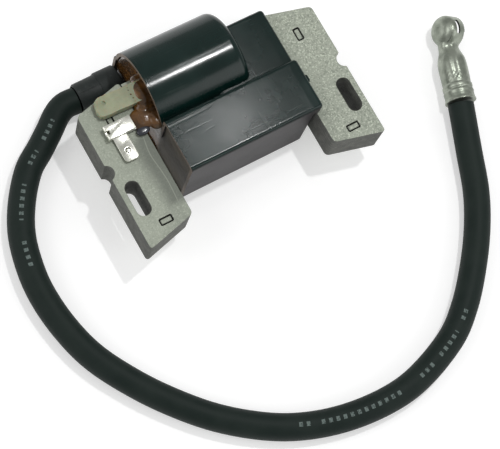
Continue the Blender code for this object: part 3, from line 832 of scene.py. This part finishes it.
# a strip folded back over itself, whose lower layer carries the spade
def makeKillTerminal():
    size = stripSettings
    low, high = corners("kill_terminal")
    metal, half = size["metal"], size["halfWidth"]
    middle = high.y - half
    strip = addBox("stopTerminal", (low.x, middle - half, low.z), (high.x, middle + half, high.z))
    bevelEdges(strip, lambda a, b: abs(a.y - b.y) > upright and a.x < low.x + hair, size["foldRadius"], 6)
    inside = addBox("inside", (low.x + metal, middle - half - mm, low.z + metal),
                    (high.x + mm, middle + half + mm, high.z - metal))
    combine(strip, inside)
    beyond = addBox("beyond", (size["upperEnd"], middle - half - mm, low.z + metal + 0.1 * mm),
                    (high.x + mm, middle + half + mm, high.z + mm))
    combine(strip, beyond)
    left, right = size["spade"]
    spade = addBox("spade", (left, low.y, low.z + 0.02 * mm),
                   (right, middle - half + 0.5 * mm, low.z + metal - 0.02 * mm))
    bevelEdges(spade, lambda a, b: abs(a.z - b.z) > upright and a.y < low.y + hair,
               size["spadeRound"], 5)
    bevelEdges(spade, lambda a, b: abs(a.z - b.z) < hair and a.z > low.z + metal / 2, 0.12 * mm, 2)
    combine(strip, spade, "UNION")
    holeX, holeY = size["hole"]
    for radius, top in size["bosses"]:
        ring = addRod("boss", radius, (holeX, holeY, low.z + 0.2 * mm),
                      (holeX, holeY, low.z + metal + top), 40)
        combine(strip, ring, "UNION")
    combine(strip, addRod("hole", size["holeRadius"], (holeX, holeY, low.z - mm),
                          (holeX, holeY, high.z + mm), 32))
    pinX, pinTop = holeX + 0.1 * mm, low.z + metal
    pin = addRod("rivetEnd", size["rivetRadius"], (pinX, holeY, low.z + 0.1 * mm), (pinX, holeY, pinTop), 24)
    bevelEdges(pin, lambda a, b: a.z > pinTop - hair and b.z > pinTop - hair, 0.2 * mm, 3)
    notch = addBox("notch", (low.x - mm, middle - size["notchHalf"] - 0.1 * mm, low.z + metal + 0.05 * mm),
                   (low.x + 1.3 * mm, middle + size["notchHalf"] - 0.1 * mm, high.z + mm))
    combine(strip, notch)
    applyModifier(strip, "BEVEL", width=0.07 * mm, segments=2, limit_method="ANGLE",
                  angle_limit=math.radians(50))
    strip = joinAll([strip, pin])
    strip.name = "stopTerminal"
    tidyMesh(strip)
    smoothByAngle(strip, 35)
    return finishPiece(strip, tinFinish, "tinned_steel", "kill_terminal")


# a ball, squared off where the power is below 1 and made uneven by lumps
def addBlob(name, middle, size, power=1.0, lumps=0.0, scale=300, segments=40):
    clearSelection()
    bpy.ops.mesh.primitive_uv_sphere_add(segments=segments, ring_count=segments * 3 // 5, radius=1,
                                         location=middle)
    blob = named(name)
    blob.scale = size
    placeInMesh(blob)
    middle, size = Vector(middle), Vector(size)
    for point in blob.data.vertices:
        for axis in (0, 1, 2):
            share = (point.co[axis] - middle[axis]) / size[axis]
            point.co[axis] = middle[axis] + size[axis] * math.copysign(abs(share) ** power, share)
        if lumps:
            spoke = (point.co - middle).normalized()
            point.co += spoke * noise.noise(point.co * scale) * lumps
    return blob


def makeSeat():
    low, high = corners("terminal_seat")
    size = (high - low) / 2
    seat = addBlob("terminalSeat", (low + high) / 2, (size.x * 1.12, size.y * 1.2, size.z), 0.85, 0.12 * mm)
    smoothByAngle(seat, 60)
    return finishPiece(seat, resinDarkFinish, "potting_resin", "terminal_seat")


resinRunSettings = {
    "roots": [  # middle, size, roundness: resin that has climbed the tongue and the strip
        ((-19.3, 13.0, 21.9), (3.7, 4.1, 2.35), 0.85),
        ((-20.3, 9.6, 20.9), (3.3, 2.3, 1.7), 0.90),
        ((-22.2, 6.3, 21.1), (4.5, 3.3, 1.10), 0.80),
        ((-19.6, 4.4, 21.0), (2.4, 3.0, 1.6), 0.90),
        ((-18.9, 16.8, 20.8), (1.8, 2.0, 2.2), 0.90),
    ],
    "voxel": 0.2 * mm,
    "lumps": 0.16 * mm,
    "lumpScale": 330,
    "droplets": [  # place and radius
        (-23.05, 14.7, 23.75, 0.17), (-22.95, 13.3, 23.8, 0.22), (-22.85, 12.1, 23.75, 0.16),
        (-22.8, 11.0, 23.6, 0.13), (-22.9, 15.5, 23.7, 0.13), (-20.6, 5.2, 22.5, 0.18),
        (-19.0, 1.2, 22.9, 0.30),
    ],
}


def makeResinRun():
    settings = resinRunSettings
    mass = joinAll([addBlob("run", Vector(middle) * mm, Vector(size) * mm, power,
                            settings["lumps"], settings["lumpScale"], 48)
                    for middle, size, power in settings["roots"]])
    applyModifier(mass, "REMESH", mode="VOXEL", voxel_size=settings["voxel"])
    applyModifier(mass, "SMOOTH", factor=0.6, iterations=5)
    droplets = [addBlob("droplet", Vector((x, y, z)) * mm, Vector((radius,) * 3) * mm, 1.0, 0.0, 300, 16)
                for x, y, z, radius in settings["droplets"]]
    mass = joinAll([mass, *droplets])
    mass.name = "resinRun"
    smoothByAngle(mass, 80)
    return finishPiece(mass, resinFinish, "potting_resin")


resinDarkFinish = innerFinish("darkResin", (0.030, 0.032, 0.042), 0.14, 0.0, 500, 0.00008)
makeWedge()
makeKillTerminal()
makeSeat()
makeResinRun()


bootSettings = {
    "body": 4.75 * mm,
    "collar": 5.15 * mm,
    "boreGap": 0.12 * mm,
    "seamHalf": 0.15 * mm,
    "seamHeight": 0.14 * mm,
}


def makeBoot():
    low, high = corners("lead_boot")
    middleY, middleZ = (low.y + high.y) / 2, (low.z + high.z) / 2
    length = high.x - low.x
    body, collar = bootSettings["body"], bootSettings["collar"]
    bore = leadSettings["diameter"] / 2 + bootSettings["boreGap"]
    stations = [  # from the potted end to the outer end, then back into the bore
        (collar - 0.5 * mm, 0.0), (collar, 0.4 * mm), (collar, 6.2 * mm), (collar - 0.15 * mm, 6.5 * mm),
        (body + 0.05 * mm, 6.6 * mm), (body, 8.5 * mm), (body - 0.05 * mm, length - 0.5 * mm),
        (body - 0.35 * mm, length - 0.02 * mm), (bore, length), (bore - 0.02 * mm, length - 1.5 * mm),
    ]
    boot = turnedAlongZ("rubberBoot", stations, 72)
    half = bootSettings["seamHalf"]
    seam = addBox("seam", (-half, body - 0.3 * mm, 0.6 * mm),
                  (half, body + bootSettings["seamHeight"], length - 0.9 * mm), 0.06 * mm, 2)
    combine(boot, seam, "UNION")
    # its own +Z runs along -X, out of the resin, and its seam is on top
    turn = Matrix(((0, 0, -1, high.x), (1, 0, 0, middleY), (0, 1, 0, middleZ), (0, 0, 0, 1)))
    moveInto(boot, turn)
    tidyMesh(boot)
    smoothByAngle(boot, 35)
    return finishPiece(boot, bootFinish, "boot_rubber", "lead_boot")


boot = makeBoot()
print("fittings made")


plugSettings = {
    "start": (71.1 * mm, -28.3 * mm, 5.0 * mm),
    "heading": 70.9,
    "cupX": 23.2 * mm,
    "cupRise": 1.2 * mm,
    "cupLean": 60.0,
    "cupRadius": 4.9 * mm,
    "cupMouth": -3.3 * mm,
    "cupBack": 3.1 * mm,
    "metal": 0.6 * mm,
    "barrel": [  # radius and distance along it, from the lead to the neck
        (4.25, 0.3), (4.85, 0.35), (4.8, 0.8), (4.62, 1.5), (4.55, 2.6), (4.62, 2.9), (4.69, 3.3),
        (4.60, 3.7), (4.40, 3.9), (4.40, 4.2), (4.55, 4.4), (4.64, 4.9), (4.60, 5.5), (4.38, 5.8),
        (4.38, 6.2), (4.44, 7.6), (4.50, 10.4), (4.45, 13.0), (4.25, 14.3), (3.80, 15.5),
        (3.35, 16.6), (3.10, 17.8), (3.10, 19.5),
    ],
    "dome": [  # how far the cup's back draws in, and how far down
        (0.0, 2.6), (0.12, 1.9), (0.45, 1.3), (1.1, 0.65), (1.9, 0.25), (2.7, 0.08), (3.4, 0.12),
        (4.0, 0.22), (4.5, 0.28), (4.7, 0.30),
    ],
    "bridgeMiddle": (19.0, 0.0, 0.5),
    "bridgeSize": (3.9, 3.2, 2.7),
    "voxel": 0.14 * mm,
    "smoothing": [  # zone, from, to, strength, turns
        ("wholePiece", 6.5 * mm, 40 * mm, 0.5, 3),
        ("neckZone", 12.5 * mm, 21.5 * mm, 0.8, 55),
    ],
    "folds": [(0.9 * mm, 0.32 * mm), (-1.6 * mm, 0.20 * mm)],  # place across and depth
    "foldHalf": 0.85 * mm,
    "foldRun": (6.4 * mm, 21.0 * mm),
    "foldFade": 3.0 * mm,
    "toolMarks": (9.4 * mm, 2.8 * mm, 0.035 * mm),  # end, lowest height, depth
    "slitLow": (-2.3 * mm, -1.2 * mm),  # across and along the cup
    "slitHigh": (2.3 * mm, 0.2 * mm),
    "slitFloor": 3.0 * mm,
    "clipInset": 1.6 * mm,
    "clipHeight": 0.3 * mm,
    "clipWire": 0.45 * mm,
    "clipTurn": (-60, 241, 6),
}
plugFrame = Matrix.Translation(plugSettings["start"]) \
    @ Matrix.Rotation(math.radians(plugSettings["heading"]), 4, "Z")
cupFrame = plugFrame @ Matrix.Translation((plugSettings["cupX"], 0, plugSettings["cupRise"])) \
    @ Matrix.Rotation(math.radians(-plugSettings["cupLean"]), 4, "X")
alongX = Matrix.Rotation(math.radians(90), 4, "Y")


# crimp, neck and cup are one stamping, so one piece stands for both nodes
def makeTerminal():
    size = plugSettings
    terminal = turnedAlongZ("plugTerminal", [(r * mm, z * mm) for r, z in size["barrel"]], 72)
    moveInto(terminal, alongX)
    radius, low, high = size["cupRadius"], size["cupMouth"], size["cupBack"]
    wall = [(radius - 0.12 * mm, low), (radius, low + 0.2 * mm)]
    dome = [(radius - inwards * mm, high - down * mm) for inwards, down in size["dome"]]
    cup = turnedAlongZ("cup", wall + dome, 80)
    intoCup = plugFrame.inverted() @ cupFrame
    moveInto(cup, intoCup)
    combine(terminal, cup, "UNION")
    bridge = addBlob("bridge", Vector(size["bridgeMiddle"]) * mm, Vector(size["bridgeSize"]) * mm)
    combine(terminal, bridge, "UNION")
    applyModifier(terminal, "REMESH", mode="VOXEL", voxel_size=size["voxel"])
    for name, start, end, factor, turns in size["smoothing"]:
        zone = terminal.vertex_groups.new(name=name)
        inZone = [point.index for point in terminal.data.vertices if start < point.co.x < end]
        zone.add(inZone, 1.0, "REPLACE")
        applyModifier(terminal, "SMOOTH", factor=factor, iterations=turns, vertex_group=name)
    foldStart, foldEnd = size["foldRun"]
    marksEnd, marksBottom, marksDepth = size["toolMarks"]
    for point in terminal.data.vertices:  # folds along the top, and shallow tool marks
        x, y, z = point.co
        fadeIn = min(max((x - foldStart) / size["foldFade"], 0), 1)
        share = fadeIn * min(max((foldEnd - x) / size["foldFade"], 0), 1)
        if z > 0 and share > 0:
            for middle, depth in size["folds"]:
                across = (y - middle) / size["foldHalf"]
                point.co.z -= depth * share * math.exp(-across * across)
        if foldStart < x < marksEnd and z > marksBottom:
            point.co.z += marksDepth * math.sin(y * 5200) * math.sin(x * 4300)
    inside = radius - size["metal"]
    bore = turnedAlongZ("bore", [
        (inside, low - mm), (inside, high - 2.8 * mm),
        (inside - 0.5 * mm, high - 1.9 * mm), (inside - 1.5 * mm, high - 1.3 * mm)], 64)
    moveInto(bore, intoCup)
    combine(terminal, bore)
    slitLow, slitHigh = size["slitLow"], size["slitHigh"]
    slit = addBox("slit", (slitLow[0], -radius - mm, slitLow[1]),
                  (slitHigh[0], -size["slitFloor"], slitHigh[1]), 0.5 * mm, 4)
    moveInto(slit, intoCup)
    combine(terminal, slit)
    tidyMesh(terminal)
    smoothByAngle(terminal, 50)
    moveInto(terminal, plugFrame)
    finishPiece(terminal, platedFinish, "plated_steel", "crimp_barrel", "plug_cup")
    terminal.data.materials.append(shadedBoreFinish)
    toCup = cupFrame.inverted()
    for face in terminal.data.polygons:  # the inside of the cup is darker: painted shade in the recess
        middle = toCup @ face.center
        if math.hypot(middle.x, middle.y) < inside + 0.05 * mm and middle.z < high - 1.25 * mm:
            face.material_index = 1
    return terminal


# the wire ring in the cup, whose bowed side stands in the slit
def makeClip():
    size = plugSettings
    reach, height = size["cupRadius"] - size["clipInset"], size["clipHeight"]
    clearSelection()
    bpy.ops.curve.primitive_bezier_curve_add()
    clip = bpy.context.active_object
    clip.name = "springClip"
    curve = clip.data
    curve.splines.clear()
    spline = curve.splines.new("POLY")
    angles = [math.radians(angle) for angle in range(*size["clipTurn"])]
    spline.points.add(len(angles) - 1)
    for point, angle in zip(spline.points, angles):
        point.co = (reach * math.cos(angle), reach * math.sin(angle), height, 1)
    curve.bevel_depth = size["clipWire"]
    curve.bevel_resolution = 5
    curve.use_fill_caps = True
    activate(clip)
    bpy.ops.object.convert(target="MESH")
    clip = bpy.context.active_object
    tidyMesh(clip)
    smoothByAngle(clip, 50)
    moveInto(clip, cupFrame)
    return finishPiece(clip, springFinish, "spring_steel", "plug_spring_clip")


# a darker copy of the plated finish for the inside of the cup: painted shade
shadedBoreFinish = tinPlate("shadedBore", (0.10, 0.11, 0.095), (0.045, 0.05, 0.045), 0.35, 0.5)
terminal, clip = makeTerminal(), makeClip()
print("plug terminal made")

cordPath = [tuple(point) for point in leadPath[::3]] + [tuple(leadPath[-1])]


innerFinishes = {  # these pieces keep their CAD shape
    "primary_bobbin": innerFinish("bobbinNylon", (0.55, 0.55, 0.50), 0.40),
    "secondary_bobbin": innerFinish("bobbinNylonPale", (0.60, 0.60, 0.54), 0.38),
    "primary_winding": innerFinish("thickCopper", (0.52, 0.17, 0.06), 0.22, 0.9, 2200, 0.0001,
                                   (1.0, 0.1, 0.1)),
    "interlayer_insulation": innerFinish("windingTape", (0.60, 0.48, 0.18), 0.40),
    "circuit_board": innerFinish("glassBoard", (0.03, 0.16, 0.07), 0.38),
    "power_transistor": innerFinish("transistorEpoxy", (0.022, 0.022, 0.022), 0.42),
    "control_transistor": innerFinish("smallEpoxy", (0.024, 0.024, 0.024), 0.42),
    "zener_diode": innerFinish("diodeGlass", (0.10, 0.035, 0.02), 0.25),
    "film_capacitor": innerFinish("dippedFilm", (0.50, 0.14, 0.03), 0.30),
    "resistor_1": innerFinish("lacquerTan", (0.48, 0.32, 0.17), 0.35),
    "resistor_2": innerFinish("lacquerTanTwo", (0.44, 0.30, 0.18), 0.35),
}
fineCopper = innerFinish("fineCopper", (0.48, 0.15, 0.05), 0.25, 0.9, 4200, 0.00006, (1.0, 0.1, 0.1))
for section in range(1, 5):
    innerFinishes[f"secondary_winding_{section}"] = fineCopper
for node, material in innerFinishes.items():
    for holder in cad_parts[node].material_slots:
        holder.material = material
print("inner finishes set")


stageSettings = {
    "floorSize": 6,
    "floorDrop": 0.02 * mm,
    "floorLight": (0.74, 0.74, 0.74),
    "floorDark": (0.71, 0.71, 0.71),
    "floorGlow": 0.40,
    "skyStrength": 0.50,
    "aim": (0.0, 0.0, 0.01),
    "lamps": {  # place, width, power
        "mainLight": ((0.185, 0.03, 0.64), 0.026, 1.25),
        "topGleam": ((0.185, 0.143, 0.62), 0.026, 0.09),
        "stripGleam": ((0.275, 0.345, 1.20), 0.07, 0.03),
        "softKey": ((-0.75, 0.30, 0.70), 0.70, 2.2),
        "softFill": ((0.55, -0.75, 0.60), 0.70, 2.0),
    },
}


def makeStage():
    size = stageSettings
    clearSelection()
    bpy.ops.mesh.primitive_plane_add(size=size["floorSize"], location=(0, 0, -size["floorDrop"]))
    floor = named("floor")
    paper = Finish("paper", Specular_IOR_Level=0.1)
    shade = paper.blend(paper.grain(3, 2) * 0.3, size["floorLight"], size["floorDark"])
    paper.plug(paper.shader, {"Emission Color": (1, 1, 1, 1), "Emission Strength": size["floorGlow"]})
    floor.data.materials.append(paper.feed(Base_Color=shade, Roughness=0.85 + paper.grain(8, 2) * 0.05))
    for name, (place, width, power) in size["lamps"].items():
        clearSelection()
        bpy.ops.object.light_add(type="AREA", location=place)
        lamp = bpy.context.active_object
        lamp.name = name
        lamp.data.shape = "DISK"
        lamp.data.size = width
        lamp.data.energy = power
        aim = Vector(size["aim"]) - Vector(place)
        lamp.rotation_euler = aim.to_track_quat("-Z", "Y").to_euler()
    world = bpy.data.worlds.new("studio")
    world.use_nodes = True
    background = world.node_tree.nodes["Background"]
    background.inputs["Color"].default_value = (1, 1, 1, 1)
    background.inputs["Strength"].default_value = size["skyStrength"]
    bpy.context.scene.world = world


makeStage()
print("stage set")
